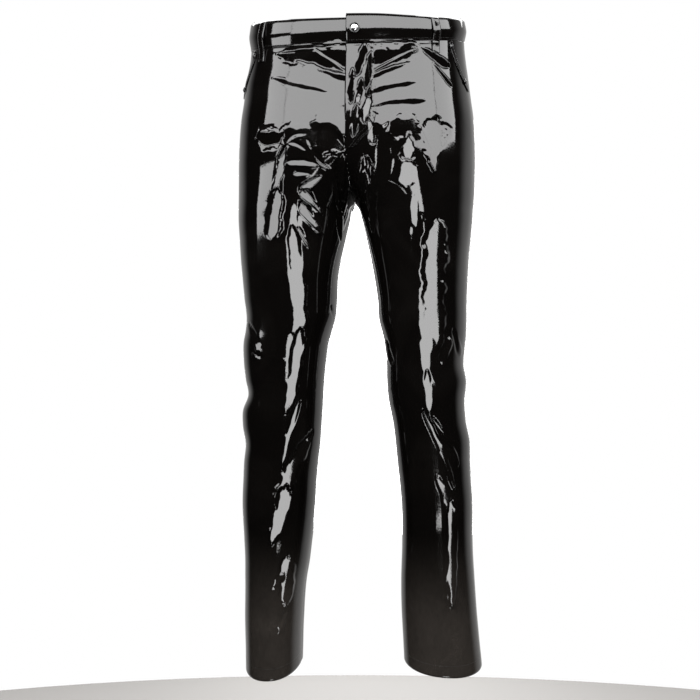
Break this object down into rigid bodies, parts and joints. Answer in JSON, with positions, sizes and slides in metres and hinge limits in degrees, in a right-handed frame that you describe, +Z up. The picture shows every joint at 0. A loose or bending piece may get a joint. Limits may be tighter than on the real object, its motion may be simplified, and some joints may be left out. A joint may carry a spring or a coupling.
{
  "type": "latex trousers worn on no wearer",
  "caption": "Black glossy latex trousers in a jeans cut, hollow and worn: buttoned waistband with lap, topstitched fly, slanted front pockets, belt loops, straight legs with knee and calf folds.",
  "frame": {"origin": "the middle of the waist opening at the height of the waistband, where the wearer holds the trousers up", "axes": "+Z up along the body, -Y towards the fly and the front, +X towards the wearer's left leg; metres"},
  "size_m": [0.3942, 0.2635, 1.075],
  "materials": {
    "latex": "high gloss black latex sheet, polished",
    "metal": "nickel-plated brass, satin"
  },
  "bodies": {
    "root": {"front_left": "latex", "front_right": "latex", "back_left": "latex", "back_right": "latex", "waistband_left": "latex", "waistband_right": "latex", "fly_placket": "latex", "pocket_mouth_left": "latex", "pocket_mouth_right": "latex", "belt_loop_1": "latex", "belt_loop_2": "latex", "belt_loop_3": "latex", "belt_loop_4": "latex", "belt_loop_5": "latex", "waist_button": "metal", "rivet_1": "metal", "rivet_2": "metal", "rivet_3": "metal", "rivet_4": "metal"}
  },
  "joints": []
}
